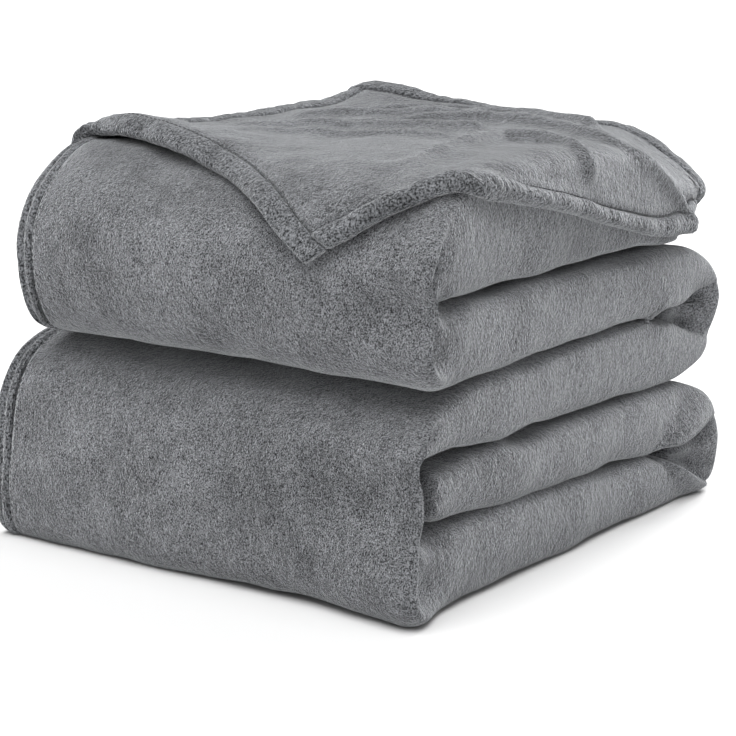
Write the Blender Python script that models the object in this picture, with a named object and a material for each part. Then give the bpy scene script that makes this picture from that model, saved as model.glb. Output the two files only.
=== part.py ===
"""A folded fleece throw: two packs of folded cloth lying on each other, with one hemmed ply draped on top.

The cloth is one long panel. It runs in an S: first layer, front fold, second layer, middle fold at the back,
third layer, lower front fold, bottom layer, lower back fold, tucked layer. Each stretch between two folds is
one solid here, each fold is one solid, and the upper pack opens like a book about the middle fold.

Metres. X runs along the rolls, hemmed ends at -X. The rolls face -Y, the back folds +Y. +Z is up.
"""

import math

import bmesh
import bpy

# Overall size of the folded pile
LENGTH = 0.356
DEPTH = 0.400

# Thickness of each layer of folded plies, lowest first
BOTTOM_LAYER = 0.0500
TUCKED_LAYER = 0.0480
THIRD_LAYER = 0.0455
SECOND_LAYER = 0.0530
FIRST_LAYER = 0.0695

# How the packs sit on each other
UPPER_INSET = 0.024
LOWER_SETBACK = 0.006
MOUTH_RECESS = 0.010
BACK_FOLD_DEPTH = 0.036
FIRST_LAYER_SHORT = 0.004

# Cloth, hems and thread
PLY = 0.0040
HEM = 0.0080
HEM_WIDTH = 0.0170
SEAM = 0.0012
END_HEM_WIDTH = 0.0160
END_HEM = 0.0070
END_HEM_SUNK = 0.0016
INNER_HEM_RECESS = 0.0040
THREAD_RADIUS = 0.0005
THREAD_INSET = 0.0130

# Fit and softness
GAP = 0.0003
END_RADIUS = 0.0130
END_STEPS = 3
ROLL_STEPS = 14
BOW_STEPS = 8

# Where the top ply's corners lie, measured over the cloth's surface
PLY_EDGE_SETBACK = 0.003
LEFT_CORNER_BEFORE_ROLL = 0.020
NEAR_CORNER_FROM_END = 0.084
NEAR_CORNER_DOWN_ROLL = 0.086
RIGHT_CORNER_DOWN_END = 0.068
RIGHT_CORNER_FROM_BACK = 0.050
PLY_BOW = 0.012

FLEECE = (0.195, 0.200, 0.212, 1.0)
HEM_FLEECE = (0.170, 0.175, 0.187, 1.0)
THREAD = (0.120, 0.124, 0.132, 1.0)

DRAPE = HEM + GAP
LEFT_END = -LENGTH / 2
LOWER_RIGHT = LENGTH / 2 - DRAPE - LOWER_SETBACK
UPPER_LEFT = LEFT_END + UPPER_INSET
UPPER_RIGHT = LENGTH / 2 - DRAPE
BACK = DEPTH / 2
LOWER_FRONT = -DEPTH / 2
UPPER_FRONT = -DEPTH / 2 + DRAPE

TUCKED_BASE = BOTTOM_LAYER + GAP
THIRD_BASE = TUCKED_BASE + TUCKED_LAYER + GAP
LOWER_TOP = THIRD_BASE + THIRD_LAYER
UPPER_BASE = LOWER_TOP + GAP
FIRST_BASE = UPPER_BASE + SECOND_LAYER + GAP
UPPER_TOP = FIRST_BASE + FIRST_LAYER
LOWER_ROLL = LOWER_TOP / 2
UPPER_ROLL = (UPPER_TOP - UPPER_BASE) / 2
LOWER_FLAT = LOWER_FRONT + LOWER_ROLL
UPPER_FLAT = UPPER_FRONT + UPPER_ROLL
FOLD_START = BACK - BACK_FOLD_DEPTH
END_HEM_STOP = FOLD_START - GAP
TOP_FLAT = BACK - UPPER_FLAT

# The top ply's corners, as (distance along X from the pile's middle, distance forward from the back edge)
PLY_FAR = (UPPER_LEFT + PLY_EDGE_SETBACK, PLY_EDGE_SETBACK)
PLY_LEFT = (UPPER_LEFT + PLY_EDGE_SETBACK, TOP_FLAT - LEFT_CORNER_BEFORE_ROLL)
PLY_NEAR = (UPPER_RIGHT - NEAR_CORNER_FROM_END, TOP_FLAT + NEAR_CORNER_DOWN_ROLL)
PLY_RIGHT = (UPPER_RIGHT + RIGHT_CORNER_DOWN_END, RIGHT_CORNER_FROM_BACK)


def clear_scene():
    for obj in list(bpy.data.objects):
        bpy.data.objects.remove(obj, do_unlink=True)


def cloth_material(name, colour, roughness):
    """A dull, non-metallic cloth in one colour."""
    material = bpy.data.materials.new(name)
    material.use_nodes = True
    shader = material.node_tree.nodes["Principled BSDF"]
    shader.inputs["Base Color"].default_value = colour
    shader.inputs["Roughness"].default_value = roughness
    shader.inputs["Metallic"].default_value = 0.0
    return material


def add_object(name, mesh, material, parent):
    obj = bpy.data.objects.new(name, mesh)
    bpy.context.scene.collection.objects.link(obj)
    obj.data.materials.append(material)
    if parent is not None:
        obj.parent = parent
        obj.matrix_parent_inverse = parent.matrix_world.inverted()
    return obj


def add_pivot(name, y, z, parent=None):
    """An empty on the axis of a fold, which runs along X."""
    pivot = bpy.data.objects.new(name, None)
    bpy.context.scene.collection.objects.link(pivot)
    pivot.location = (0.0, y, z)
    bpy.context.view_layer.update()
    if parent is not None:
        pivot.parent = parent
        pivot.matrix_parent_inverse = parent.matrix_world.inverted()
        bpy.context.view_layer.update()
    return pivot


def finished_mesh(name, bm):
    bmesh.ops.recalc_face_normals(bm, faces=bm.faces[:])
    if bm.calc_volume(signed=True) < 0:
        bmesh.ops.reverse_faces(bm, faces=bm.faces[:])
    mesh = bpy.data.meshes.new(name)
    bm.to_mesh(mesh)
    bm.free()
    mesh.shade_smooth()
    mesh.set_sharp_from_angle(angle=math.radians(40))
    return mesh


def layer(name, low, high, material, parent=None):
    """A block of stacked plies, rounded above and below at its +X end."""
    bm = bmesh.new()
    bmesh.ops.create_cube(bm, size=1.0)
    for vert in bm.verts:
        for axis in range(3):
            middle = (low[axis] + high[axis]) / 2
            vert.co[axis] = middle + vert.co[axis] * (high[axis] - low[axis])
    middle_x = (low[0] + high[0]) / 2
    rounded = []
    for edge in bm.edges:
        start, end = (vert.co for vert in edge.verts)
        if start.x > middle_x and end.x > middle_x and start.z == end.z:
            rounded.append(edge)
    bmesh.ops.bevel(bm, geom=rounded, offset=END_RADIUS, segments=END_STEPS, profile=0.5, affect="EDGES")
    return add_object(name, finished_mesh(name, bm), material, parent)


def lofted(name, rings, material, parent=None):
    """A closed solid through rings of the same number of points, capped at both ends."""
    bm = bmesh.new()
    rows = [[bm.verts.new(point) for point in ring] for ring in rings]
    count = len(rows[0])
    for first, second in zip(rows, rows[1:]):
        for i in range(count):
            j = (i + 1) % count
            bm.faces.new((first[i], first[j], second[j], second[i]))
    bm.faces.new(rows[0])
    bm.faces.new(rows[-1][::-1])
    return add_object(name, finished_mesh(name, bm), material, parent)


def arc(centre_y, centre_z, depth, height, start, end):
    """Points (y, z) on an ellipse, angles in degrees from +Y towards +Z."""
    points = []
    for i in range(ROLL_STEPS + 1):
        angle = math.radians(start + (end - start) * i / ROLL_STEPS)
        points.append((centre_y + depth * math.cos(angle), centre_z + height * math.sin(angle)))
    return points


def roll(name, outline, left, right, material, parent=None):
    """An outline in the YZ plane drawn out along X, its +X end rounded in towards the flat side."""
    flat_y = outline[0][0]
    low_z = min(z for _, z in outline)
    high_z = max(z for _, z in outline)
    middle_z = (low_z + high_z) / 2
    reach = max(abs(y - flat_y) for y, _ in outline)
    stations = [(left, 0.0)]
    for i in range(END_STEPS + 1):
        angle = math.pi / 2 * i / END_STEPS
        stations.append((right - END_RADIUS * (1 - math.sin(angle)), END_RADIUS * (1 - math.cos(angle))))
    rings = []
    for x, inset in stations:
        scale_y = 1 - inset / reach
        scale_z = 1 - 2 * inset / (high_z - low_z)
        ring = [(x, flat_y + (y - flat_y) * scale_y, middle_z + (z - middle_z) * scale_z) for y, z in outline]
        rings.append(ring)
    return lofted(name, rings, material, parent)


def wrap_path(flat_y, centre_z, radius, stop_y, offset):
    """Points (y, z) over a pack's top, round its front roll and back under it, at an offset outwards."""
    distance = radius + offset
    points = [(stop_y, centre_z + distance)]
    points += arc(flat_y, centre_z, distance, distance, 90, 270)
    points.append((stop_y, centre_z - distance))
    return points


def end_hem(name, flat_y, centre_z, radius, left, material, parent=None):
    """The outer ply's hem at the pack's -X end: a doubled band that wraps the roll."""
    outer = wrap_path(flat_y, centre_z, radius, END_HEM_STOP, -END_HEM_SUNK)
    inner = wrap_path(flat_y, centre_z, radius, END_HEM_STOP, -END_HEM_SUNK - END_HEM)
    outline = outer + inner[::-1]
    rings = [[(x, y, z) for y, z in outline] for x in (left, left + END_HEM_WIDTH)]
    return lofted(name, rings, material, parent)


def inner_hems(name, flat_y, centre_z, radius, left, material, parent=None):
    """The stacked hems of the plies inside the outer one, set back a little from the end."""
    sunk = -END_HEM_SUNK - END_HEM - GAP
    outline = wrap_path(flat_y, centre_z, radius, END_HEM_STOP, sunk)
    rings = [[(x, y, z) for y, z in outline] for x in (left + INNER_HEM_RECESS, left + END_HEM_WIDTH)]
    return lofted(name, rings, material, parent)


def thread(name, points, parent=None):
    """A sewn line: one thin round cord through the points."""
    curve = bpy.data.curves.new(name, "CURVE")
    curve.dimensions = "3D"
    curve.bevel_depth = THREAD_RADIUS
    curve.bevel_resolution = 1
    curve.use_fill_caps = True
    spline = curve.splines.new("POLY")
    spline.points.add(len(points) - 1)
    for target, point in zip(spline.points, points):
        target.co = (*point, 1.0)
    return add_object(name, curve, MATERIALS["thread"], parent)


def end_hem_thread(name, flat_y, centre_z, radius, left, parent=None):
    path = wrap_path(flat_y, centre_z, radius, END_HEM_STOP - END_RADIUS, THREAD_RADIUS + GAP - END_HEM_SUNK)
    kept = path[:-2]
    return thread(name, [(left + THREAD_INSET, y, z) for y, z in kept], parent)


def bend_lines():
    """Where the top ply bends, as (axis, surface distance): over the +X end, then over the upper roll."""
    lines = []
    for i in range(END_STEPS + 1):
        lines.append((0, UPPER_RIGHT - END_RADIUS + END_RADIUS * math.pi / 2 * i / END_STEPS))
    for i in range(ROLL_STEPS + 1):
        lines.append((1, TOP_FLAT + UPPER_ROLL * math.pi * i / ROLL_STEPS))
    return lines


def draped_point(across, forward, height):
    """A point of the top ply, from its two distances over the surface and its height above it."""
    past_end = max(across - (UPPER_RIGHT - END_RADIUS), 0.0)
    end_angle = min(past_end / END_RADIUS, math.pi / 2)
    hanging = past_end - end_angle * END_RADIUS
    past_flat = max(forward - TOP_FLAT, 0.0)
    roll_angle = past_flat / UPPER_ROLL
    lift = height + GAP
    x = across - past_end + (END_RADIUS + lift) * math.sin(end_angle)
    y = BACK - forward + past_flat - (UPPER_ROLL + lift * math.cos(end_angle)) * math.sin(roll_angle)
    z = UPPER_TOP - END_RADIUS * (1 - math.cos(end_angle)) - hanging
    z -= UPPER_ROLL * (1 - math.cos(roll_angle))
    return (x, y, z + lift * math.cos(end_angle) * math.cos(roll_angle))


def ply_place(u, v):
    """Surface distances at (u, v): u runs from the -X edge to the +X one, v from the back edge forward."""
    back = [PLY_FAR[i] * (1 - u) + PLY_RIGHT[i] * u for i in range(2)]
    front = [PLY_LEFT[i] * (1 - u) + PLY_NEAR[i] * u for i in range(2)]
    across = back[0] * (1 - v) + front[0] * v + PLY_BOW * u * 4 * v * (1 - v)
    return across, back[1] * (1 - v) + front[1] * v


def ply_outline(u_range, v_range):
    """The outline of a patch of the top ply in surface distances, with its two long sides bowed."""
    rising = [v_range[0] + (v_range[1] - v_range[0]) * i / BOW_STEPS for i in range(BOW_STEPS + 1)]
    outline = [ply_place(u_range[0], v) for v in rising]
    outline += [ply_place(u_range[1], v) for v in rising[::-1]]
    return outline


def ply_patch(name, u_range, v_range, thickness, material, parent):
    """A patch of the top ply: cut flat, scored along the bend lines, then bent over the pack."""
    bm = bmesh.new()
    outline = ply_outline(u_range, v_range)
    low = [bm.verts.new((across, forward, 0.0)) for across, forward in outline]
    high = [bm.verts.new((across, forward, thickness)) for across, forward in outline]
    bm.faces.new(low)
    bm.faces.new(high[::-1])
    for i in range(len(outline)):
        j = (i + 1) % len(outline)
        bm.faces.new((low[i], high[i], high[j], low[j]))
    for axis, distance in bend_lines():
        point, normal = [0.0, 0.0, 0.0], [0.0, 0.0, 0.0]
        point[axis], normal[axis] = distance, 1.0
        geometry = bm.verts[:] + bm.edges[:] + bm.faces[:]
        bmesh.ops.bisect_plane(bm, geom=geometry, dist=1e-6, plane_co=point, plane_no=normal)
    bmesh.ops.triangulate(bm, faces=[face for face in bm.faces if len(face.verts) > 4])
    for vert in bm.verts:
        vert.co = draped_point(*vert.co)
    return add_object(name, finished_mesh(name, bm), material, parent)


def scored_path(path):
    """A path in surface distances with a point added wherever it crosses a bend line."""
    points = [path[0]]
    for start, end in zip(path, path[1:]):
        shares = set()
        for axis, distance in bend_lines():
            run = end[axis] - start[axis]
            if run and 0 < (distance - start[axis]) / run < 1:
                shares.add((distance - start[axis]) / run)
        for share in sorted(shares):
            points.append(tuple(start[i] + (end[i] - start[i]) * share for i in range(2)))
        points.append(end)
    return points


def build_lower_pack():
    fleece, hem = MATERIALS["fleece"], MATERIALS["hem"]
    body_left = LEFT_END + END_HEM_WIDTH + GAP
    centre = LOWER_TOP / 2
    inner_y = LOWER_FLAT + GAP
    layer(
        "bottom_layer",
        (body_left, inner_y, 0.0),
        (LOWER_RIGHT, FOLD_START - GAP, BOTTOM_LAYER),
        fleece,
    )
    layer(
        "tucked_layer",
        (body_left, inner_y, TUCKED_BASE),
        (LOWER_RIGHT - MOUTH_RECESS, FOLD_START - GAP, TUCKED_BASE + TUCKED_LAYER),
        fleece,
    )
    layer(
        "third_layer",
        (body_left, inner_y, THIRD_BASE),
        (LOWER_RIGHT, FOLD_START - GAP, LOWER_TOP),
        fleece,
    )
    roll(
        "lower_front_fold",
        arc(LOWER_FLAT, centre, LOWER_ROLL, LOWER_ROLL, 90, 270),
        body_left,
        LOWER_RIGHT,
        fleece,
    )
    back_height = (TUCKED_BASE + TUCKED_LAYER) / 2
    roll(
        "lower_back_fold",
        arc(FOLD_START, back_height, BACK_FOLD_DEPTH, back_height, 90, -90),
        LEFT_END,
        LOWER_RIGHT,
        fleece,
    )
    roll(
        "middle_fold_lower_half",
        [(FOLD_START, LOWER_TOP)] + arc(FOLD_START, LOWER_TOP, BACK_FOLD_DEPTH, THIRD_LAYER, 0, -90),
        LEFT_END,
        LOWER_RIGHT,
        fleece,
    )
    end_hem("lower_end_hem", LOWER_FLAT, centre, LOWER_ROLL, LEFT_END, hem)
    inner_hems("lower_inner_hems", LOWER_FLAT, centre, LOWER_ROLL, LEFT_END, hem)
    end_hem_thread("lower_end_hem_thread", LOWER_FLAT, centre, LOWER_ROLL, LEFT_END)


def build_upper_pack(pivot):
    fleece, hem = MATERIALS["fleece"], MATERIALS["hem"]
    body_left = UPPER_LEFT + END_HEM_WIDTH + GAP
    centre = UPPER_BASE + UPPER_ROLL
    inner_y = UPPER_FLAT + GAP
    layer(
        "second_layer",
        (body_left, inner_y, UPPER_BASE),
        (UPPER_RIGHT, FOLD_START - GAP, UPPER_BASE + SECOND_LAYER),
        fleece,
        pivot,
    )
    layer(
        "first_layer",
        (body_left, inner_y, FIRST_BASE),
        (UPPER_RIGHT, BACK - FIRST_LAYER_SHORT, UPPER_TOP),
        fleece,
        pivot,
    )
    roll(
        "upper_front_fold",
        arc(UPPER_FLAT, centre, UPPER_ROLL, UPPER_ROLL, 90, 270),
        body_left,
        UPPER_RIGHT,
        fleece,
        pivot,
    )
    roll(
        "middle_fold_upper_half",
        [(FOLD_START, UPPER_BASE)] + arc(FOLD_START, UPPER_BASE, BACK_FOLD_DEPTH, SECOND_LAYER, 90, 0),
        UPPER_LEFT,
        UPPER_RIGHT,
        fleece,
        pivot,
    )
    end_hem("upper_end_hem", UPPER_FLAT, centre, UPPER_ROLL, UPPER_LEFT, hem, pivot)
    inner_hems("upper_inner_hems", UPPER_FLAT, centre, UPPER_ROLL, UPPER_LEFT, hem, pivot)
    end_hem_thread("upper_end_hem_thread", UPPER_FLAT, centre, UPPER_ROLL, UPPER_LEFT, pivot)


def build_top_ply(pivot):
    fleece, hem = MATERIALS["fleece"], MATERIALS["hem"]
    width = math.dist(PLY_LEFT, PLY_NEAR)
    length = math.dist(PLY_NEAR, PLY_RIGHT)
    hem_u, hem_v = HEM_WIDTH / width, HEM_WIDTH / length
    inner_u = (hem_u + SEAM / width, 1 - hem_u - SEAM / width)
    inner_v = (hem_v + SEAM / length, 1 - hem_v - SEAM / length)
    ply_patch("top_ply", inner_u, inner_v, PLY, fleece, pivot)
    ply_patch("top_hem_left", (0, hem_u), (0, 1), HEM, hem, pivot)
    ply_patch("top_hem_right", (1 - hem_u, 1), (0, 1), HEM, hem, pivot)
    ply_patch("top_hem_back", inner_u, (0, hem_v), HEM, hem, pivot)
    ply_patch("top_hem_front", inner_u, (1 - hem_v, 1), HEM, hem, pivot)

    inset = THREAD_RADIUS
    low_u, high_u = inner_u[0] + inset / width, inner_u[1] - inset / width
    low_v, high_v = inner_v[0] + inset / length, inner_v[1] - inset / length
    rising = [low_v + (high_v - low_v) * i / BOW_STEPS for i in range(BOW_STEPS + 1)]
    path = [ply_place(low_u, v) for v in rising] + [ply_place(high_u, v) for v in rising[::-1]]
    height = PLY + GAP + THREAD_RADIUS
    thread("top_hem_thread", [draped_point(*place, height) for place in scored_path(path)], pivot)


clear_scene()
MATERIALS = {
    "fleece": cloth_material("fleece", FLEECE, 0.95),
    "hem": cloth_material("hem", HEM_FLEECE, 0.92),
    "thread": cloth_material("thread", THREAD, 0.70),
}
build_lower_pack()
middle_fold_axis = add_pivot("middle_fold_axis", BACK, (LOWER_TOP + UPPER_BASE) / 2)
build_upper_pack(middle_fold_axis)
top_ply_axis = add_pivot("top_ply_axis", BACK, UPPER_TOP, middle_fold_axis)
build_top_ply(top_ply_axis)
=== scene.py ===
"""A folded plush fleece throw: the looks.

The CAD frame gives the places and sizes, and this script gives the cloth. Each pack of plies is a closed
strip with its hems, and the loose ply on top is a sheet laid over the upper pack.
"""

import math

import bmesh
import bpy
import numpy as np
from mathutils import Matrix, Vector
from mathutils.bvhtree import BVHTree


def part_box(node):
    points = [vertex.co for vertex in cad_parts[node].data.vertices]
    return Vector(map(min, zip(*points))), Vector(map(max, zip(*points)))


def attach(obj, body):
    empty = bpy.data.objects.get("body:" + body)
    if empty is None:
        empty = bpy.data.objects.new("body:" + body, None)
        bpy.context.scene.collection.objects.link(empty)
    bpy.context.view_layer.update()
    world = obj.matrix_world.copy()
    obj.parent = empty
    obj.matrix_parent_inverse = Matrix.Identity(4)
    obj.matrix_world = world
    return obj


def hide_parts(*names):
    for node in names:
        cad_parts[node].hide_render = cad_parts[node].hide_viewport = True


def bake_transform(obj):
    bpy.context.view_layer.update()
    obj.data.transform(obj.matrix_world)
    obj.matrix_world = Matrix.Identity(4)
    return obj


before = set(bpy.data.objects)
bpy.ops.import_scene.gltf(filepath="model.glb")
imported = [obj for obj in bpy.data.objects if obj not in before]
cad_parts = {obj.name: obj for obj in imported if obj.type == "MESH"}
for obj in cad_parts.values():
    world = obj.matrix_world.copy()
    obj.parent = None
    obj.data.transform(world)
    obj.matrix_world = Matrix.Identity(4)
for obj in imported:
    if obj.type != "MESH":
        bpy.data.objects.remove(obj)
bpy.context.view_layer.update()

# ---------------------------------------------------------------------------------------------- places
MM = 0.001
LOWER_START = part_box("lower_end_hem")[0][0]
UPPER_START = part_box("upper_end_hem")[0][0]
LOWER_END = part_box("third_layer")[1][0] + 8 * MM
UPPER_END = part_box("first_layer")[1][0] + 5 * MM

# Each pack is one thick strip of plies that folds to and fro. A station is a cut across the strip, seen from
# the +X end, as (left edge y, z, right edge y, z) in millimetres. Left is the side on the left hand when
# going along the strip from its free end.
UPPER_STATIONS = [
    (172, 194.5, 172, 194.5), (170, 194.6, 188, 199), (165, 194.7, 196, 212), (150, 195, 197, 235),
    (130, 195, 188, 256), (100, 195.2, 160, 266), (50, 195.5, 90, 269), (-20, 196, 0, 269.5),
    (-90, 196, -90, 269), (-150, 196, -139, 266.5), (-172, 195.8, -167, 253), (-180, 195.3, -183, 238),
    (-183, 194.7, -194, 220), (-183.5, 194, -197.5, 200), (-183, 193.3, -196.5, 180), (-179, 193, -192, 163),
    (-168, 192.6, -184, 150), (-145, 192.8, -168, 144), (-80, 193, -100, 142.3), (0, 193, -10, 143),
    (70, 192.5, 70, 144.5), (115, 192.3, 112, 143.5), (145, 190.5, 136, 142), (168, 185, 145, 142),
    (186, 176, 160, 142.8), (196, 163, 175, 143.6), (199, 150, 190, 144.3), (199.6, 144.5, 199, 144.35),
]
LOWER_STATIONS = [
    (199.6, 144.1, 199, 144.15), (199, 138, 190, 143.9), (199.5, 120, 165, 142), (198, 106, 145, 141),
    (187, 97, 134, 140.6), (165, 92.5, 118, 141.5), (140, 91, 90, 143), (100, 91.5, 50, 143.5),
    (30, 93, 0, 143), (-50, 95, -60, 142), (-120, 97, -120, 140), (-160, 98, -152, 136),
    (-176, 97, -177, 126), (-182, 91, -190.5, 108), (-184, 80, -197, 88), (-184, 68, -200, 64),
    (-183, 60, -201, 38), (-179, 57.5, -200, 15), (-170, 56.5, -192, 1.8), (-150, 55, -165, 0),
    (-80, 52, -90, 0), (0, 48, -5, 0), (70, 44, 80, 0), (105, 41.5, 130, 0),
    (117, 41.0, 170, 0), (118, 41.0, 190, 2.5), (118, 41.0, 199, 14), (118, 41.1, 200, 32),
    (118, 41.2, 198, 52), (117, 41.4, 190, 69), (113, 41.8, 176, 81), (105, 42.6, 150, 88.5),
    (70, 45, 90, 89.8), (0, 49, 0, 91.2), (-80, 53, -80, 93), (-140, 55.5, -140, 94.5),
    (-166, 57, -163, 93.5), (-176, 64, -174, 86), (-178, 75, -178, 75.5),
]


# ---------------------------------------------------------------------------------------------- numbers
def steady(values, at):
    """Values given at 0, 1, 2..., read between them without overshoot."""
    values = np.asarray(values, float)
    steps = np.diff(values, axis=0)
    slopes = np.zeros_like(values)
    both = steps[:-1] * steps[1:]
    total = steps[:-1] + steps[1:]
    safe = np.where(total == 0, 1, total)
    slopes[1:-1] = np.where(both > 0, 2 * both / safe, 0)
    slopes[0], slopes[-1] = steps[0], steps[-1]
    index = np.clip(np.floor(at).astype(int), 0, len(values) - 2)
    t = np.asarray(at - index)
    t = t.reshape(t.shape + (1,) * (values.ndim - 1))
    t2, t3 = t * t, t * t * t
    ends = (2 * t3 - 3 * t2 + 1) * values[index] + (3 * t2 - 2 * t3) * values[index + 1]
    return ends + (t3 - 2 * t2 + t) * slopes[index] + (t3 - t2) * slopes[index + 1]


def smoothed(rows, rounds):
    """Rows of points eased along their length, both ends held."""
    rows = rows.copy()
    for _ in range(rounds):
        rows[1:-1] = rows[1:-1] * 0.5 + (rows[:-2] + rows[2:]) * 0.25
    return rows


def ramp(value, low, high):
    t = np.clip((value - low) / (high - low), 0, 1)
    return t * t * (3 - 2 * t)


def hump(value, middle, reach):
    return np.exp(-(((value - middle) / reach) ** 2))


def lumps(points, size, seed, waves=16):
    """Smooth noise about -1 to 1 whose bumps are about this size in metres."""
    rng = np.random.default_rng(seed)
    total = np.zeros(points.shape[:-1])
    for _ in range(waves):
        direction = rng.normal(size=3)
        direction /= np.linalg.norm(direction)
        turns = 2 * math.pi / (size * rng.uniform(1.4, 3.0))
        total += np.sin(points @ (direction * turns) + rng.uniform(0, 2 * math.pi))
    return total / math.sqrt(waves)


# ---------------------------------------------------------------------------------------------- meshes
WELD = 1e-5
COLLAPSED = 1e-7


def mesh_from(name, points, faces):
    """A mesh object from an array of points and a list of faces."""
    mesh = bpy.data.meshes.new(name)
    mesh.from_pydata(points.tolist(), [], faces)
    mesh.update()
    obj = bpy.data.objects.new(name, mesh)
    bpy.context.scene.collection.objects.link(obj)
    return obj


def grid_quads(rows, columns, first=0, flip=False):
    """The quads of a grid of points whose first point has this index."""
    i, j = np.meshgrid(np.arange(rows - 1), np.arange(columns - 1), indexing="ij")
    a = first + i * columns + j
    quads = np.stack([a, a + columns, a + columns + 1, a + 1], -1).reshape(-1, 4)
    return quads[:, ::-1] if flip else quads


def joined(name, blocks):
    """One closed mesh from (grid of points, flip) blocks whose borders meet."""
    points, quads, first = [], [], 0
    for block, flip in blocks:
        points.append(block.reshape(-1, 3))
        quads.append(grid_quads(block.shape[0], block.shape[1], first, flip))
        first += block.shape[0] * block.shape[1]
    obj = mesh_from(name, np.concatenate(points), np.concatenate(quads).tolist())
    bm = bmesh.new()
    bm.from_mesh(obj.data)
    bmesh.ops.remove_doubles(bm, verts=bm.verts, dist=WELD)
    bmesh.ops.dissolve_degenerate(bm, edges=bm.edges, dist=COLLAPSED)
    bmesh.ops.recalc_face_normals(bm, faces=bm.faces)
    if bm.calc_volume(signed=True) < 0:
        bmesh.ops.reverse_faces(bm, faces=bm.faces)
    bm.to_mesh(obj.data)
    bm.free()
    obj.data.shade_smooth()
    return obj


def vertex_array(obj):
    out = np.empty(len(obj.data.vertices) * 3, np.float32)
    obj.data.vertices.foreach_get("co", out)
    return out.reshape(-1, 3).astype(float)


def normal_array(obj):
    out = np.empty(len(obj.data.vertices) * 3, np.float32)
    obj.data.vertices.foreach_get("normal", out)
    return out.reshape(-1, 3).astype(float)


def set_vertices(obj, points):
    obj.data.vertices.foreach_set("co", points.astype(np.float32).ravel())
    obj.data.update()


# ---------------------------------------------------------------------------------------------- the packs
STATION_STEP = 3.0 * MM
ACROSS = 48
HEM_REACH = 15 * MM
SEAM = 0.4 * MM
SEAM_POINTS = 5
CLOTH_COLUMNS = 105
HEM_COLUMNS = 14
STRIP_EASE = 10
# The +X end of a strip, where every ply turns back.
EDGE_RADIUS = 7.5 * MM
EDGE_DEPTH = 10 * MM
ROUNDNESS = 2.1
CROWN = 4.5 * MM
CROWN_WIDTH = 45 * MM
BACK_SWELL = 10 * MM
# The -X end, where the plies' hems lie side by side.
PLIES = 4
HEM_GROOVE = 6 * MM
# The middle fold, where a cut parts the two packs.
FOLD_HEIGHT = 143 * MM
FOLD_TIP = (UPPER_END + LOWER_END) / 2 - 7 * MM


def strip_edges(stations):
    """Both edges of a strip as (n, 2) arrays of (y, z)."""
    table = np.asarray(stations, float) * MM
    at = [0.0]
    for k in range(len(table) - 1):
        left = np.linalg.norm(table[k + 1, :2] - table[k, :2])
        right = np.linalg.norm(table[k + 1, 2:] - table[k, 2:])
        count = max(5, int(max(left, right) / STATION_STEP))
        at += [k + (i + 1) / count for i in range(count)]
    edges = smoothed(steady(table, np.array(at)), STRIP_EASE)
    return edges[:, :2], edges[:, 2:]


def between(left, right, share):
    """Points across the strip, from its left edge to its right one."""
    share = share[None, :, None]
    return left[:, None, :] * (1 - share) + right[:, None, :] * share


def edge_recess(share, width, open_side):
    """How far the end's two edges are rounded back, where share runs across the strip."""
    from_left = share[None, :] * width[:, None]
    from_right = (1 - share[None, :]) * width[:, None] + open_side
    inward = 1 - np.clip(np.minimum(from_left, from_right) / EDGE_RADIUS, 0, 1)
    return EDGE_DEPTH * (1 - (1 - inward ** ROUNDNESS) ** (1 / ROUNDNESS))


def front_lip(share):
    """The front roll's end: a ridge near its outside, a hollow beside it, and a fall towards the inside."""
    ridge = 8 * MM * hump(share, 0.9, 0.12)
    hollow = 6 * MM * hump(share, 0.6, 0.22)
    return ridge - hollow - 8 * MM * (1 - ramp(share, 0, 0.35))


def folded_end(left, right, end):
    """The +X end of a strip, a plump rounded edge, and its rim's x for each row."""
    share = (1 - np.cos(np.pi * np.linspace(0, 1, ACROSS))) / 2
    width = np.linalg.norm(left - right, axis=1)
    at_back = ramp(right[:, 0], 150 * MM, 195 * MM)[:, None]
    at_front = ramp(-right[:, 0], 160 * MM, 192 * MM)[:, None]
    # The right edge isn't rounded where it is the cut through the middle fold: the cloth goes on past it.
    beside_cut = ramp(right[:, 0], 95 * MM, 120 * MM) * hump(right[:, 1], FOLD_HEIGHT, 7 * MM)
    open_side = beside_cut[:, None]
    aside = 2 * share[None, :] - 1
    aside = np.where(aside > 0, aside * (1 - open_side), aside)
    crown = CROWN * np.minimum(width / CROWN_WIDTH, 1)[:, None] * aside ** 2
    recess = edge_recess(share, width, open_side)
    x = end + BACK_SWELL * at_back - crown - recess + at_front * front_lip(share)[None, :]
    return np.concatenate([x[..., None], between(left, right, share)], -1), (x[:, 0], x[:, -1])


def hemmed_end(left, right, start):
    """The -X end of a strip: the hems of four plies side by side, each a plump bead."""
    share = np.linspace(0, 1, ACROSS + 1)
    width = np.linalg.norm(left - right, axis=1)
    bead = np.abs(np.sin(PLIES * np.pi * share)) ** 0.55
    depth = np.minimum(0.16 * width, HEM_GROOVE)
    x = start + depth[:, None] * (1 - bead[None, :])
    return np.concatenate([x[..., None], between(left, right, share)], -1), (x[:, 0], x[:, -1])


def flat_end(left, right, at, count):
    """A strip's end cut straight across at this x, with this many points across it."""
    share = np.linspace(0, 1, count)
    x = np.full((len(left), count, 1), at)
    return np.concatenate([x, between(left, right, share)], -1), (x[:, 0, 0], x[:, -1, 0])


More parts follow.
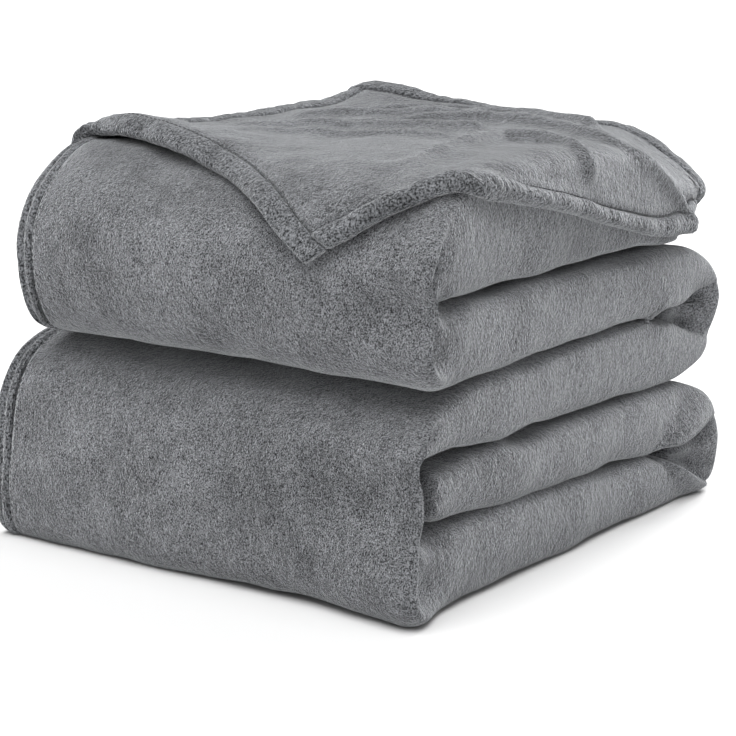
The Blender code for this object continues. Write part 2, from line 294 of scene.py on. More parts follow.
def strip_body(name, left, right, near, far, columns):
    """A closed strip between two end caps, each given as (points, rim x)."""
    (near_cap, near_rims), (far_cap, far_rims) = near, far
    t = np.linspace(0, 1, columns)[None, :]
    blocks = [(near_cap, False), (far_cap, True)]
    sides = []
    for edge, near_rim, far_rim in zip((left, right), near_rims, far_rims):
        x = near_rim[:, None] + (far_rim - near_rim)[:, None] * t
        yz = np.repeat(edge[:, None, :], columns, axis=1)
        sides.append(np.concatenate([x[..., None], yz], -1))
        blocks.append((sides[-1], edge is left))
    for row in (0, len(left) - 1):
        if np.linalg.norm(left[row] - right[row]) > 1e-6:
            blocks.append((np.stack([side[row] for side in sides]), row == 0))
    return joined(name, blocks)


def build_pack(name, stations, start, end):
    """The pack's folded cloth, and the hems along its -X end."""
    left, right = strip_edges(stations)
    seam = start + HEM_REACH
    cloth_seam = flat_end(left, right, seam + SEAM, SEAM_POINTS)
    hem_seam = flat_end(left, right, seam, SEAM_POINTS)
    body = strip_body(name + "_cloth", left, right, cloth_seam, folded_end(left, right, end), CLOTH_COLUMNS)
    hems = strip_body(name + "_end_hems", left, right, hemmed_end(left, right, start), hem_seam, HEM_COLUMNS)
    return body, hems


# Creases that turn into a pleated pocket where the strip folds at the back: (y, z) of the pocket's point and
# of its two ridges' far ends, and how far it is sunk, in millimetres.
POCKETS = [((112, 142.5), (206, 162), (208, 108), 15), ((114, 41), (204, 62), (212, -8), 15)]
# Places where two layers part a little and leave a dark opening: (y, z, reach, sink) in millimetres.
OPENINGS = [
    (-166, 95.7, 14, 42), (-146, 96, 12, 30), (-60, 94, 16, 36), (-180, 56.5, 9, 36), (-150, 195, 14, 8),
    (60, 193, 25, 8), (-60, 143, 25, 8), (122, 142.5, 12, 40), (124, 41, 10, 24),
]
OPENING_HEIGHT = 4


def pocket_depth(y, z, reach, pocket):
    """How far one pleated pocket is sunk, in metres, at these places in millimetres."""
    (vy, vz), upper_ridge, lower_ridge, sink = pocket
    sides = []
    for (ry, rz), way in ((upper_ridge, -1), (lower_ridge, 1)):
        length = math.hypot(ry - vy, rz - vz)
        sides.append(way * ((ry - vy) * (z - vz) - (rz - vz) * (y - vy)) / length)
    inside = np.minimum(sides[0], sides[1])
    ahead = ramp(y, vy - 4, vy + 18)
    before_rim = ramp(-y, -199, -165)
    pleat = 3.0 * np.sin(np.arctan2(z - vz, np.maximum(y - vy, 1)) * 16) * before_rim
    fall = sink * ramp(inside, -0.5, 3.0) * before_rim + pleat * ramp(inside, 3, 8)
    shoulder = 1.5 * np.exp(-np.maximum(-inside, 0) / 3) * (inside < 3) * before_rim
    return MM * ahead * reach * (fall + shoulder)


def sink_pockets(points, end):
    """Points of the +X end pushed in where the pockets and openings are."""
    points = points.copy()
    y, z = points[:, 1] / MM, points[:, 2] / MM
    reach = ramp(points[:, 0], end - 30 * MM, end - 12 * MM)
    for pocket in POCKETS:
        points[:, 0] -= pocket_depth(y, z, reach, pocket)
    for oy, oz, size, sink in OPENINGS:
        near = hump(y, oy, size) * hump(z, oz, OPENING_HEIGHT)
        points[:, 0] -= MM * sink * near * ramp(points[:, 0], end - 40 * MM, end - 12 * MM)
    return points


# The upper pack, in millimetres: its +X front corner is pinched, the first layer's back corner is pulled in
# and falls away, its front edge rises under the loose ply, and its top dips behind that.
PINCH = 12
PULL_IN = 26
CORNER_SHIFT = 30
CORNER_FALL = 46
FRONT_RISE = 6.5
TOP_DIP = 5
END_SAG = 2


def upper_shape(points):
    """The upper pack's points after these moves."""
    x, y, z = points.T
    to_end = ramp(x, 90 * MM, UPPER_END)
    front = ramp(-y, 120 * MM, 170 * MM)
    pinch = to_end * front * hump(z, 193 * MM, 15 * MM)
    corner = ramp(x, 10 * MM, 165 * MM) * ramp(y, 10 * MM, 200 * MM)
    first_layer = ramp(z, 194 * MM, 200 * MM)
    dip = hump(y, 10 * MM, 110 * MM) * ramp(-x, 40 * MM, 150 * MM) * ramp(z, 200 * MM, 270 * MM)
    rise = ramp(-x, 20 * MM, 100 * MM) * hump(y, -125 * MM, 34 * MM) * ramp(z, 205 * MM, 262 * MM)
    sag = to_end * front * ramp(-z, -165 * MM, -145 * MM)
    out = points.copy()
    out[:, 0] -= MM * PULL_IN * to_end * ramp(y, 95 * MM, 190 * MM) * ramp(z, 192 * MM, 200 * MM)
    out[:, 1] += MM * (PINCH * pinch - CORNER_SHIFT * corner * ramp(y, 120 * MM, 190 * MM) * first_layer)
    out[:, 2] += MM * (FRONT_RISE * rise - CORNER_FALL * corner * ramp(z, 195 * MM, 262 * MM) - TOP_DIP * dip)
    out[:, 2] -= MM * END_SAG * sag
    out[:, 0] -= fold_round(x, y, z, UPPER_END)
    return out


def fold_round(x, y, z, end):
    """How far the middle fold's tip draws back at the cut through it, so that both packs meet there."""
    drawn = (end - FOLD_TIP) * ramp(x, end - 60 * MM, end) * ramp(y, 140 * MM, 195 * MM)
    return drawn * hump(z, FOLD_HEIGHT, 18 * MM)


def lower_shape(points):
    """The lower pack's front swelling towards its +X end, with a waist at each crease."""
    x, y, z = points.T
    to_end = ramp(x, 40 * MM, LOWER_END)
    front = ramp(-y, 130 * MM, 185 * MM)
    swell = 6 * hump(z, 15 * MM, 28 * MM) + 7 * hump(z, 108 * MM, 14 * MM) - 3 * hump(z, 76 * MM, 14 * MM)
    out = points.copy()
    out[:, 0] -= fold_round(x, y, z, LOWER_END)
    out[:, 1] -= MM * to_end * front * swell
    return out


RUFFLE_SEED = 3


def ruffle(obj, seed):
    """Soft unevenness over the whole surface."""
    points, normals = vertex_array(obj), normal_array(obj)
    amount = 1.5 * MM * lumps(points, 60 * MM, seed) + 0.5 * MM * lumps(points, 20 * MM, seed + 1)
    set_vertices(obj, points + normals * amount[:, None])


HEM_RIDGE = 2.0 * MM
HEM_SINK = 0.6 * MM
SEAM_DIP = 1.3 * MM
SEAM_REACH = 2.2 * MM


def faces_outward(normals):
    """1 where the surface faces away from the strip's ends, 0 on the ends."""
    return 1 - ramp(np.abs(normals[:, 0]), 0.3, 0.8)


def double_hem(obj, start):
    """Two plump ridges round the pack's outside, next to its -X end."""
    points, normals = vertex_array(obj), normal_array(obj)
    along = (points[:, 0] - start) / HEM_REACH
    ridges = HEM_RIDGE * np.abs(np.sin(2 * np.pi * np.clip(along, 0, 1))) ** 0.7 - HEM_SINK
    set_vertices(obj, points + normals * (ridges * faces_outward(normals))[:, None])


def rounded_seam(obj, start):
    """The cloth dips into the seam beside the hem."""
    points, normals = vertex_array(obj), normal_array(obj)
    past = points[:, 0] - (start + HEM_REACH)
    dip = SEAM_DIP * np.exp(-np.maximum(past, 0) / SEAM_REACH) * faces_outward(normals)
    set_vertices(obj, points - normals * dip[:, None])


def rest_on_floor(obj):
    points = vertex_array(obj)
    points[:, 2] = np.maximum(points[:, 2], 0)
    set_vertices(obj, points)


def reshape(obj, *steps):
    points = vertex_array(obj)
    for step in steps:
        points = step(points)
    set_vertices(obj, points)


upper, upper_hems = build_pack("upper_pack", UPPER_STATIONS, UPPER_START, UPPER_END)
lower, lower_hems = build_pack("lower_pack", LOWER_STATIONS, LOWER_START, LOWER_END)
for body, hems, start in ((upper, upper_hems, UPPER_START), (lower, lower_hems, LOWER_START)):
    rounded_seam(body, start)
    double_hem(hems, start)
    ruffle(body, RUFFLE_SEED)
    ruffle(hems, RUFFLE_SEED)
for obj in (upper, upper_hems):
    reshape(obj, upper_shape)
for obj in (lower, lower_hems):
    reshape(obj, lower_shape)
    rest_on_floor(obj)
reshape(upper, lambda p: sink_pockets(p, UPPER_END))
reshape(lower, lambda p: sink_pockets(p, LOWER_END))
rest_on_floor(lower)


# ---------------------------------------------------------------------------------------------- the top ply
# The loose ply's middle surface, as rows of points from its back edge to its front edge. Each row goes from
# the -X edge to the edge that hangs over the +X side. Millimetres.
PLY_NET = [
    [(-150, 196, 280), (-130, 198, 285), (-95, 198, 281), (-40, 198, 273), (25, 198, 268),
     (95, 198, 264), (158, 198, 225), (149, 193, 204)],
    [(-152, 150, 275), (-132, 150, 274), (-95, 150, 271), (-40, 150, 272), (30, 150, 271),
     (100, 148, 266), (168, 145, 228), (168, 146, 201)],
    [(-153, 90, 268), (-132, 90, 270), (-95, 92, 270), (-40, 88, 272), (30, 96, 275),
     (110, 84, 273), (174, 78, 254), (179, 102, 203)],
    [(-153, 20, 264), (-132, 22, 267), (-95, 25, 268), (-40, 30, 272), (40, 30, 272),
     (110, 15, 273), (174, 8, 264), (182, 38, 216)],
    [(-153, -50, 266), (-132, -48, 269), (-95, -45, 269), (-30, -45, 271), (50, -50, 272),
     (115, -60, 273), (173, -65, 267), (181, -45, 238)],
    [(-156, -88, 266), (-138, -98, 279), (-105, -108, 287), (-50, -114, 284), (10, -124, 275),
     (80, -126, 273), (150, -128, 271), (180, -115, 253)],
    [(-160, -108, 260), (-143, -114, 282), (-104, -126, 289), (-46, -134, 283), (18, -148, 271),
     (70, -162, 266), (118, -166, 263), (160, -168, 259)],
    [(-161, -134, 254), (-140, -131, 273), (-100, -139, 277), (-50, -151, 271), (2, -164, 260),
     (41, -184, 248), (67, -195, 233), (93, -203, 219)],
]
PLY_COUNT = 230
NET_EASE = 14
# How many rounds each pass of lifting the ply off the pack is eased.
LIFT_EASES = (40, 25, 15, 10, 6, 4, 2)
PLY_HALF = 1.9 * MM
HEM_HALF = 4.3 * MM
HEM_WIDTH = 17 * MM
CLEAR = 0.5 * MM
DEEPEST = 14 * MM


def smooth_net(net, rows, columns):
    """A net of points read as a smooth surface."""
    net = np.asarray(net, float) * MM
    down = steady(net, np.linspace(0, len(net) - 1, rows))
    at = np.linspace(0, net.shape[1] - 1, columns)
    across = steady(down.transpose(1, 0, 2), at).transpose(1, 0, 2)
    for _ in range(NET_EASE):
        across[1:-1] = across[1:-1] * 0.5 + (across[:-2] + across[2:]) * 0.25
        across[:, 1:-1] = across[:, 1:-1] * 0.5 + (across[:, :-2] + across[:, 2:]) * 0.25
    return across


def surface_normals(grid):
    """The upward unit normal at each point of a grid."""
    du = np.gradient(grid, axis=1)
    dv = np.gradient(grid, axis=0)
    normals = np.cross(du, -dv)
    return normals / np.maximum(np.linalg.norm(normals, axis=-1, keepdims=True), 1e-12)


def edge_distance(grid):
    """Each point's distance along the cloth from the nearest border, from the -X border and from the back."""
    along_u = np.linalg.norm(np.diff(grid, axis=1), axis=-1).cumsum(axis=1)
    along_u = np.pad(along_u, ((0, 0), (1, 0)))
    along_v = np.pad(np.linalg.norm(np.diff(grid, axis=0), axis=-1).cumsum(axis=0), ((1, 0), (0, 0)))
    near = np.minimum(along_u, along_u[:, -1:] - along_u)
    return np.minimum(near, np.minimum(along_v, along_v[-1:] - along_v)), along_u, along_v


def spread_out(field, rounds):
    """Vectors over a grid eased into their neighbours."""
    for _ in range(rounds):
        padded = np.pad(field, ((1, 1), (1, 1), (0, 0)), mode="edge")
        field = (field + padded[:-2, 1:-1] + padded[2:, 1:-1] + padded[1:-1, :-2] + padded[1:-1, 2:]) / 5
    return field


def lift_clear(grid, tree, least, ease):
    """A grid moved out where it is nearer the pack than its least distance, with the moves eased."""
    moves = np.zeros((grid.shape[0] * grid.shape[1], 3))
    for i, (point, gap) in enumerate(zip(grid.reshape(-1, 3), least.reshape(-1))):
        place, normal, _, distance = tree.find_nearest(Vector(point))
        away = (Vector(point) - place).dot(normal)
        if away < gap and distance < gap + DEEPEST:
            moves[i] = np.array(normal) * (gap - away)
    return grid + spread_out(moves.reshape(grid.shape), ease)


def pack_tree(seam, *objects):
    """The outside of these meshes as a search tree, without the faces between them at the seam."""
    vertices, polygons = [], []
    for obj in objects:
        first = len(vertices)
        vertices += [v.co.copy() for v in obj.data.vertices]
        for p in obj.data.polygons:
            if abs(p.normal.x) < 0.95 or abs(p.center.x - seam) > 2 * MM:
                polygons.append([first + i for i in p.vertices])
    return BVHTree.FromPolygons(vertices, polygons)


# The ply's long soft wrinkles: the points that each crest runs through, its height and its half width, in
# millimetres.
WRINKLES = [
    ([(-60, 20, 272), (-28, 25, 273), (38, 76, 274), (100, 74, 273), (132, 64, 272),
      (160, 58, 268), (176, 66, 262), (181, 108, 236), (181, 138, 212), (180, 132, 200)], 9, 6),
    ([(118, -128, 270), (110, -60, 272), (104, 4, 273), (130, 8, 273), (154, 2, 271),
      (176, -10, 262)], 9, 6),
    ([(-110, 118, 270), (-40, 130, 272), (30, 140, 271), (100, 128, 266)], 9, 7),
    ([(-130, -10, 268), (-60, 0, 271), (0, 20, 272), (60, 40, 272)], 7, 7),
    ([(-120, 60, 270), (-60, 75, 271), (0, 105, 272), (50, 118, 271)], 8, 7),
    ([(-90, -60, 270), (-30, -50, 271), (30, -30, 272), (70, -10, 272)], 6, 7),
]


CREST_POINTS = 180
CREST_EASE = 50
CREST_SHAPE = 1.3


def crest_distance(grid, points):
    """Each grid point's distance from a line through these points, laid on the grid, and its share along."""
    at = np.linspace(0, len(points) - 1, CREST_POINTS)
    line = steady(np.asarray(points, float) * MM, at)
    flat = grid.reshape(-1, 3)
    on_grid = np.array([flat[np.linalg.norm(flat - point, axis=1).argmin()] for point in line])
    on_grid = smoothed(on_grid, CREST_EASE)
    gaps = np.linalg.norm(grid[:, :, None, :] - on_grid[None, None], axis=-1)
    return gaps.min(axis=-1), gaps.argmin(axis=-1) / (CREST_POINTS - 1)


# The ply's unevenness, as (height, size, seed) of two sets of lumps, and how much more it is on the flat top.
PLY_LUMPS = ((0.9 * MM, 45 * MM, 21), (0.5 * MM, 16 * MM, 22))
TOP_EXTRA = 0.45


def uneven(grid):
    """The grid with soft lumps, calmer along its edges and where it hangs down."""
    (high, wide, seed), (low, narrow, other) = PLY_LUMPS
    amount = high * lumps(grid, wide, seed) + low * lumps(grid, narrow, other)
    distance, _, _ = edge_distance(grid)
    on_top = ramp(grid[..., 2], 255 * MM, 265 * MM)
    amount *= 1 + TOP_EXTRA * ramp(distance, 10 * MM, 40 * MM) * on_top
    return grid + surface_normals(grid) * amount[..., None]


def wrinkled(grid):
    """The grid raised along the crests of its wrinkles."""
    normals = surface_normals(grid)
    amount = np.zeros(grid.shape[:2])
    for points, height, reach in WRINKLES:
        distance, along = crest_distance(grid, points)
        fade = np.minimum(1, 4 * along + 0.15)
        amount += MM * height * fade * np.exp(-((distance / (reach * MM)) ** CREST_SHAPE))
    return grid + normals * amount[..., None]


def settled_ply():
    """The loose ply's middle surface, lying clear of the pack under it."""
    grid = wrinkled(uneven(smooth_net(PLY_NET, PLY_COUNT, PLY_COUNT)))
    tree = pack_tree(UPPER_START + HEM_REACH, upper, upper_hems)
    distance, _, _ = edge_distance(grid)
    hem = 1 - ramp(distance, HEM_WIDTH * 0.8, HEM_WIDTH * 1.6)
    right = ramp(np.linspace(0, 1, PLY_COUNT), 0.7, 0.95)[None, :]
    least = CLEAR + PLY_HALF + (HEM_HALF + 2 * MM * right - PLY_HALF) * hem
    for ease in LIFT_EASES:
        grid = lift_clear(grid, tree, least, ease)
    return grid


PLY = settled_ply()
PLY_NORMALS = surface_normals(PLY)
_, PLY_ALONG_U, PLY_ALONG_V = edge_distance(PLY)


def read_grid(grid, u, v):
    """A grid's values at u, v from 0 to 1, taken between its points."""
    n = PLY_COUNT - 1
    i = np.clip(np.floor(v * n).astype(int), 0, n - 1)
    j = np.clip(np.floor(u * n).astype(int), 0, n - 1)
    a, b = (v * n - i)[..., None], (u * n - j)[..., None]
    return (grid[i, j] * (1 - a) * (1 - b) + grid[i, j + 1] * (1 - a) * b
            + grid[i + 1, j] * a * (1 - b) + grid[i + 1, j + 1] * a * b)


def u_at(distance, v, from_right=False):
    """The u that lies this far along the cloth from the -X edge, or from the other edge."""
    rows = np.clip(np.round(np.asarray(v) * (PLY_COUNT - 1)).astype(int), 0, PLY_COUNT - 1)
    share = np.linspace(0, 1, PLY_COUNT)
    along = PLY_ALONG_U[rows]
    if from_right:
        return np.array([np.interp(row[-1] - distance, row, share) for row in along])
    return np.array([np.interp(distance, row, share) for row in along])


def v_at(distance, u, from_front=False):
    """The v that lies this far along the cloth from the back edge, or from the front one."""
    columns = np.clip(np.round(np.asarray(u) * (PLY_COUNT - 1)).astype(int), 0, PLY_COUNT - 1)
    share = np.linspace(0, 1, PLY_COUNT)
    along = PLY_ALONG_V[:, columns].T
    if from_front:
        return np.array([np.interp(row[-1] - distance, row, share) for row in along])
    return np.array([np.interp(distance, row, share) for row in along])


def thick_sheet(name, u, v, half):
    """A closed sheet about the ply's middle surface, at these u and v grids, this thick on each side."""
    middle, normal = read_grid(PLY, u, v), read_grid(PLY_NORMALS, u, v)
    top = middle + normal * half[..., None]
    under = middle - normal * half[..., None]
    blocks = [(top, True), (under, False)]
    for index in (0, -1):
        blocks.append((np.stack([top[index], under[index]]), True))
        blocks.append((np.stack([top[:, index], under[:, index]]), True))
    return joined(name, blocks)


HEM_ALONG = 240
HEM_ACROSS = 18
PLUSH_SEED = 31
PANEL_COUNT = 190


def rounded(share, power):
    """Half thickness across a rounded edge, from 0 at both ends to 1."""
    return (1 - np.abs(2 * share - 1) ** power) ** (1 / power)


def plush(points_u, points_v, seed):
    """Small unevenness of a hem's thickness."""
    middle = read_grid(PLY, points_u, points_v)
    return 1 + 0.10 * lumps(middle, 10 * MM, seed) + 0.05 * lumps(middle, 4 * MM, seed + 1)


def hem_band(name, side, near, far, flatness=2.4, ends=(0, 1)):
    """One of the ply's four hems, given its half thickness at either end of its side, and where it ends."""
    across = 0.5 * (1 - np.cos(np.pi * np.linspace(0, 1, HEM_ACROSS)))
    along = np.linspace(*ends, HEM_ALONG)
    closing = rounded(np.linspace(0, 1, HEM_ALONG), 30) * 0.9 + 0.1
    thick = (near + (far - near) * along) * closing
    half = (0.06 + rounded(across, flatness))[None, :] * thick[:, None]
    reach = across * (HEM_WIDTH - SEAM)
    if side in ("left", "right"):
        u = np.stack([u_at(d, along, side == "right") for d in reach], 1)
        v = np.repeat(along[:, None], len(reach), 1)
    else:
        v = np.stack([v_at(d, along, side == "front") for d in reach], 1)
        u = np.repeat(along[:, None], len(reach), 1)
    return thick_sheet(name, u, v, half * plush(u, v, PLUSH_SEED))


def ply_panel():
    """The loose ply's cloth inside its four hems."""
    p = q = np.linspace(0, 1, PANEL_COUNT)
    u_low, u_high = u_at(HEM_WIDTH, q), u_at(HEM_WIDTH, q, True)
    u = u_low[:, None] + (u_high - u_low)[:, None] * p[None, :]
    v_low, v_high = v_at(HEM_WIDTH, u[0]), v_at(HEM_WIDTH, u[-1], True)
    v = v_low[None, :] + (v_high - v_low)[None, :] * q[:, None]
    middle = read_grid(PLY, u, v)
    distance, _, _ = edge_distance(middle)
    half = PLY_HALF * (0.6 + 0.4 * ramp(distance, 0, 5 * MM))
    return thick_sheet("loose_ply_cloth", u, v, half)


panel = ply_panel()
LEFT_ENDS = (v_at(HEM_WIDTH, [0])[0], v_at(HEM_WIDTH, [0], True)[0])
RIGHT_ENDS = (v_at(HEM_WIDTH, [1])[0], v_at(HEM_WIDTH, [1], True)[0])
hem_front = hem_band("loose_ply_hem_front", "front", 3.6 * MM, 3.4 * MM, 3.2)
hem_back = hem_band("loose_ply_hem_back", "back", 4.2 * MM, 3.6 * MM)
hem_left = hem_band("loose_ply_hem_left", "left", 3.6 * MM, 3.6 * MM, 2.4, LEFT_ENDS)
hem_right = hem_band("loose_ply_hem_right", "right", 5.0 * MM, 6.4 * MM, 2.2, RIGHT_ENDS)


# ---------------------------------------------------------------------------------------------- the stitching
STITCH = 3.2 * MM
STITCH_PITCH = 4.6 * MM
THREAD_RADIUS = 0.4 * MM
SEAM_ASIDE = 0.9 * MM
SEAM_HEIGHT = 1.35 * MM
RING = 6
# One stitch's rings, as (share along it, lift, radius), the last two in thread radii. Both ends dip into the
# cloth.
STITCH_RINGS = ((0, -0.5, 0.3), (0.2, 0.3, 1), (0.8, 0.3, 1), (1, -0.5, 0.3))


def stitch_rod(start, end, outward):
    """One stitch: a thin rod from start to end, as an array of rings of points."""
    along = (end - start) / np.linalg.norm(end - start)
    aside = np.cross(along, outward)
    turns = np.linspace(0, 2 * math.pi, RING, endpoint=False)
    rings = []
    for share, lift, radius in STITCH_RINGS:
        centre = start + (end - start) * share + outward * lift * THREAD_RADIUS
        circle = np.cos(turns)[:, None] * aside + np.sin(turns)[:, None] * outward
        rings.append(centre + circle * THREAD_RADIUS * radius)
    return np.array(rings)


def rod_faces(first, rings):
    """The faces of a closed rod of rings whose first point has this index."""
    last = first + (rings - 1) * RING
    faces = [[first + i for i in range(RING)][::-1], [last + i for i in range(RING)]]
    for r in range(rings - 1):
        for i in range(RING):
            a, b = first + r * RING + i, first + r * RING + (i + 1) % RING
            faces.append([a, b, b + RING, a + RING])
    return faces


def place_along(path, along, at):
    """The point this far along a path, given each of its points' distance along it."""
    return np.array([np.interp(at, along, path[:, k]) for k in range(3)])


def stitching(name, paths):
    """Rows of stitches along paths of (points, outward directions, whether the cloth shows there)."""
    points, faces = [], []
    for path, outward, shows in paths:
        along = np.pad(np.linalg.norm(np.diff(path, axis=0), axis=1).cumsum(), (1, 0))
        for at in np.arange(0, along[-1] - STITCH, STITCH_PITCH):
            middle = np.searchsorted(along, at + STITCH / 2)
            if not shows[middle]:
                continue
            start, end = (place_along(path, along, s) for s in (at, at + STITCH))
            rod = stitch_rod(start, end, outward[middle])
            faces += rod_faces(sum(len(p) for p in points), len(rod))
            points.append(rod.reshape(-1, 3))
    obj = mesh_from(name, np.concatenate(points), faces)
    bm = bmesh.new()
    bm.from_mesh(obj.data)
    bmesh.ops.recalc_face_normals(bm, faces=bm.faces)
    bm.to_mesh(obj.data)
    bm.free()
    obj.data.shade_smooth()
    return obj


def ply_seams():
    """The four lines where the loose ply's hems are sewn down, on its upper side."""
    share = np.linspace(0.06, 0.94, 300)
    aside = HEM_WIDTH + SEAM_ASIDE
    lines = [(u_at(aside, share, way), share) for way in (False, True)]
    lines += [(share, v_at(aside, share, way)) for way in (False, True)]
    for u, v in lines:
        outward = read_grid(PLY_NORMALS, u, v)
        yield read_grid(PLY, u, v) + outward * SEAM_HEIGHT, outward, np.ones(len(share), bool)


def pack_seams(stations, body, start):
    """The lines where a pack's end hems are sewn down, on its outside, and where they show."""
    tree = BVHTree.FromObject(body, bpy.context.evaluated_depsgraph_get())
    for edge in strip_edges(stations):
        path, outward, shows = [], [], []
        for y, z in edge:
            place, normal, _, _ = tree.find_nearest(Vector((start + HEM_REACH + 1.5 * MM, y, z)))
            blocked = any(t.ray_cast(place + normal * MM, normal, 14 * MM)[0] for t in PACK_TREES)
            path.append(place)
            outward.append(normal)
            shows.append(not blocked and place.z > 1.5 * MM and abs(normal.x) < 0.5)
        yield np.array(path), np.array(outward), np.array(shows)


PACK_TREES = [BVHTree.FromObject(obj, bpy.context.evaluated_depsgraph_get()) for obj in (upper, lower)]
ply_thread = stitching("loose_ply_thread", ply_seams())
upper_thread = stitching("upper_pack_thread", pack_seams(UPPER_STATIONS, upper, UPPER_START))
lower_thread = stitching("lower_pack_thread", pack_seams(LOWER_STATIONS, lower, LOWER_START))


# ---------------------------------------------------------------------------------------------- material
def object_noise(tree, scale, detail, roughness=0.55, stretch=(1, 1, 1), distortion=0.0):
    """Noise in the object's own coordinates, stretched along its axes."""
    coordinates = tree.nodes.new("ShaderNodeTexCoord")
    mapping = tree.nodes.new("ShaderNodeMapping")
    mapping.inputs["Scale"].default_value = stretch
    tree.links.new(coordinates.outputs["Object"], mapping.inputs["Vector"])
    texture = tree.nodes.new("ShaderNodeTexNoise")
    texture.inputs["Scale"].default_value = scale
    texture.inputs["Detail"].default_value = detail
    texture.inputs["Roughness"].default_value = roughness
    texture.inputs["Distortion"].default_value = distortion
    tree.links.new(mapping.outputs["Vector"], texture.inputs["Vector"])
    return texture.outputs["Fac"]


def spread(tree, value, low, high, to_low, to_high):
    """A value's range from low to high, mapped to another."""
    node = tree.nodes.new("ShaderNodeMapRange")
    node.inputs["From Min"].default_value = low
    node.inputs["From Max"].default_value = high
    node.inputs["To Min"].default_value = to_low
    node.inputs["To Max"].default_value = to_high
    tree.links.new(value, node.inputs["Value"])
    return node.outputs["Result"]


def maths(tree, kind, a, b):
    """A maths node on two values, each a socket or a number."""
    node = tree.nodes.new("ShaderNodeMath")
    node.operation = kind
    for value, socket in zip((a, b), node.inputs):
        if isinstance(value, (int, float)):
            socket.default_value = value
        else:
            tree.links.new(value, socket)
    return node.outputs[0]


def pile_shade(tree, tuft):
    """How light the nap is: brushed areas, patches, tufts and the clumps and streaks that they lie in."""
    brushed = spread(tree, object_noise(tree, 22, 4, 0.6, (1, 1.5, 1)), 0.3, 0.7, 0.74, 1.26)
    patches = spread(tree, object_noise(tree, 75, 5, 0.7, (1.5, 1, 1), 0.8), 0.3, 0.7, 0.82, 1.18)
    tufts = spread(tree, object_noise(tree, tuft, 1.5, 0.6, (1, 1, 0.85)), 0.36, 0.64, 0.15, 1.85)
    clumps = spread(tree, object_noise(tree, tuft * 0.42, 2, 0.6, (1, 1, 0.7)), 0.34, 0.66, 0.88, 1.12)
    streaks = spread(tree, object_noise(tree, 170, 3, 0.65, (1, 1, 1.6)), 0.34, 0.66, 0.90, 1.10)
    broad = maths(tree, "MULTIPLY", brushed, patches)
    fine = maths(tree, "MULTIPLY", tufts, clumps)
    return maths(tree, "MULTIPLY", maths(tree, "MULTIPLY", broad, fine), streaks)


def pile_normal(tree, tuft):
    """The bump of the nap: its tufts, its slow unevenness and its brushed strokes."""
    bump = tree.nodes.new("ShaderNodeBump")
    bump.inputs["Strength"].default_value = 1.0
    bump.inputs["Distance"].default_value = 0.0016
    pile = maths(tree, "ADD", object_noise(tree, tuft * 0.8, 2, 0.6), object_noise(tree, 130, 3))
    strokes = object_noise(tree, 330, 3, 0.6, (1, 1, 0.85))
    tree.links.new(maths(tree, "ADD", pile, strokes), bump.inputs["Height"])
    return bump.outputs["Normal"]


def fleece(name, colour, tuft):
    """Plush fleece of this colour, with tufts of this noise scale."""
    material = bpy.data.materials.new(name)
    material.use_nodes = True
    tree = material.node_tree
    shader = tree.nodes["Principled BSDF"]
    # The shade runs from 0 to 2 about 1 and the mix from 0 to 1, so it takes half of it, of twice the colour.
    mix = tree.nodes.new("ShaderNodeMix")
    mix.data_type = "RGBA"
    mix.inputs["A"].default_value = (0, 0, 0, 1)
    mix.inputs["B"].default_value = (colour[0] * 2, colour[1] * 2, colour[2] * 2, 1)
    tree.links.new(maths(tree, "MULTIPLY", pile_shade(tree, tuft), 0.5), mix.inputs["Factor"])
    tree.links.new(mix.outputs["Result"], shader.inputs["Base Color"])
    tree.links.new(pile_normal(tree, tuft), shader.inputs["Normal"])
    shader.inputs["Roughness"].default_value = 0.95
    shader.inputs["Specular IOR Level"].default_value = 0.1
    shader.inputs["Sheen Weight"].default_value = 1.0
    shader.inputs["Sheen Roughness"].default_value = 0.22
    shader.inputs["Sheen Tint"].default_value = (0.95, 0.97, 1.0, 1)
    return material


FLEECE = fleece("fleece", (0.143, 0.147, 0.155), 1150)
HEM = fleece("hem_fleece", (0.120, 0.124, 0.131), 800)


def thread_material():
    """Dark sewing thread with a fine twist."""
    material = bpy.data.materials.new("thread")
    material.use_nodes = True
    nodes, links = material.node_tree.nodes, material.node_tree.links
    shader = nodes["Principled BSDF"]
    coordinates = nodes.new("ShaderNodeTexCoord")
    twist = nodes.new("ShaderNodeTexNoise")
    twist.inputs["Scale"].default_value = 2500
    colours = nodes.new("ShaderNodeValToRGB")
    colours.color_ramp.elements[0].color = (0.05, 0.052, 0.056, 1)
    colours.color_ramp.elements[1].color = (0.11, 0.113, 0.12, 1)
    links.new(coordinates.outputs["Object"], twist.inputs["Vector"])
    links.new(twist.outputs["Fac"], colours.inputs["Fac"])
    links.new(colours.outputs["Color"], shader.inputs["Base Color"])
    shader.inputs["Roughness"].default_value = 0.7
    return material


THREAD = thread_material()


def finish(obj, material, slot, body, *nodes):
    """A piece's material, its slot, which is not used, the body that it rides on and the CAD nodes that it
    stands for.
    """
    obj.data.materials.append(material)
    if body == "loose_ply":
        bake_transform(obj)
    else:
        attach(obj, body)
    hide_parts(*nodes)


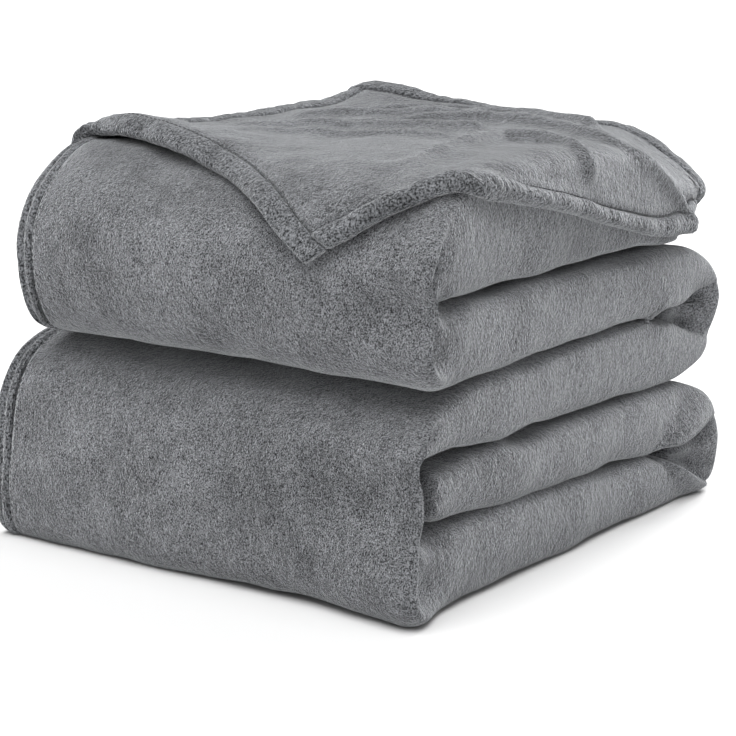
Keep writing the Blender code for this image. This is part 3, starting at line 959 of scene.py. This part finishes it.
finish(upper, FLEECE, "fleece", "upper_pack",
       "first_layer", "second_layer", "upper_front_fold", "middle_fold_upper_half")
finish(upper_hems, HEM, "hem", "upper_pack", "upper_end_hem", "upper_inner_hems")
finish(upper_thread, THREAD, "thread", "upper_pack", "upper_end_hem_thread")
finish(lower, FLEECE, "fleece", "lower_pack",
       "bottom_layer", "tucked_layer", "third_layer", "lower_front_fold", "lower_back_fold",
       "middle_fold_lower_half")
finish(lower_hems, HEM, "hem", "lower_pack", "lower_end_hem", "lower_inner_hems")
finish(lower_thread, THREAD, "thread", "lower_pack", "lower_end_hem_thread")
finish(panel, FLEECE, "fleece", "loose_ply", "top_ply")
finish(hem_left, HEM, "hem", "loose_ply", "top_hem_left")
finish(hem_right, HEM, "hem", "loose_ply", "top_hem_right")
finish(hem_front, HEM, "hem", "loose_ply", "top_hem_front")
finish(hem_back, HEM, "hem", "loose_ply", "top_hem_back")
finish(ply_thread, THREAD, "thread", "loose_ply", "top_hem_thread")


# ---------------------------------------------------------------------------------------------- studio
AZIMUTH = math.radians(35.33)
ELEVATION = math.radians(12.63)
DISTANCE = 1.508
LENS = 103.9
AIM_HEIGHT = 0.14
AIM_ASIDE = -0.0022
AIM_UP = -0.0342


def add_sun(name, energy, spread_degrees, towards):
    """A soft distant light that shines from this direction."""
    data = bpy.data.lights.new(name, "SUN")
    data.energy = energy
    data.angle = math.radians(spread_degrees)
    light = bpy.data.objects.new(name, data)
    bpy.context.scene.collection.objects.link(light)
    light.rotation_euler = Vector(towards).to_track_quat("Z", "Y").to_euler()


FLOOR_HALF = 40


def studio():
    """A pale floor, a white surround, a soft light from above and a weaker one from behind."""
    corners = np.array([(-1, -1, 0), (1, -1, 0), (1, 1, 0), (-1, 1, 0)], float) * FLOOR_HALF
    floor = mesh_from("floor", corners, [(0, 1, 2, 3)])
    white = bpy.data.materials.new("floor_white")
    white.use_nodes = True
    shader = white.node_tree.nodes["Principled BSDF"]
    shader.inputs["Base Color"].default_value = (0.72, 0.72, 0.72, 1)
    shader.inputs["Roughness"].default_value = 0.9
    floor.data.materials.append(white)
    world = bpy.data.worlds.new("studio")
    bpy.context.scene.world = world
    world.use_nodes = True
    world.node_tree.nodes["Background"].inputs["Color"].default_value = (1, 1, 1, 1)
    world.node_tree.nodes["Background"].inputs["Strength"].default_value = 0.46
    add_sun("overhead", 3.4, 55, (0.16, -0.30, 1))
    add_sun("back_light", 3.2, 30, (-0.15, 0.85, 0.6))
    bpy.context.scene.view_settings.view_transform = "Standard"


def add_camera():
    """The photo's view: from in front, to the right and a little above."""
    level = math.cos(ELEVATION)
    back = Vector((math.sin(AZIMUTH) * level, -math.cos(AZIMUTH) * level, math.sin(ELEVATION)))
    right = Vector((math.cos(AZIMUTH), math.sin(AZIMUTH), 0))
    up = back.cross(right)
    camera_data = bpy.data.cameras.new("camera")
    camera_data.lens = LENS
    camera = bpy.data.objects.new("camera", camera_data)
    bpy.context.scene.collection.objects.link(camera)
    camera.location = Vector((0, 0, AIM_HEIGHT)) + right * AIM_ASIDE + up * AIM_UP + back * DISTANCE
    camera.rotation_euler = back.to_track_quat("Z", "Y").to_euler()
    bpy.context.scene.camera = camera


studio()
add_camera()
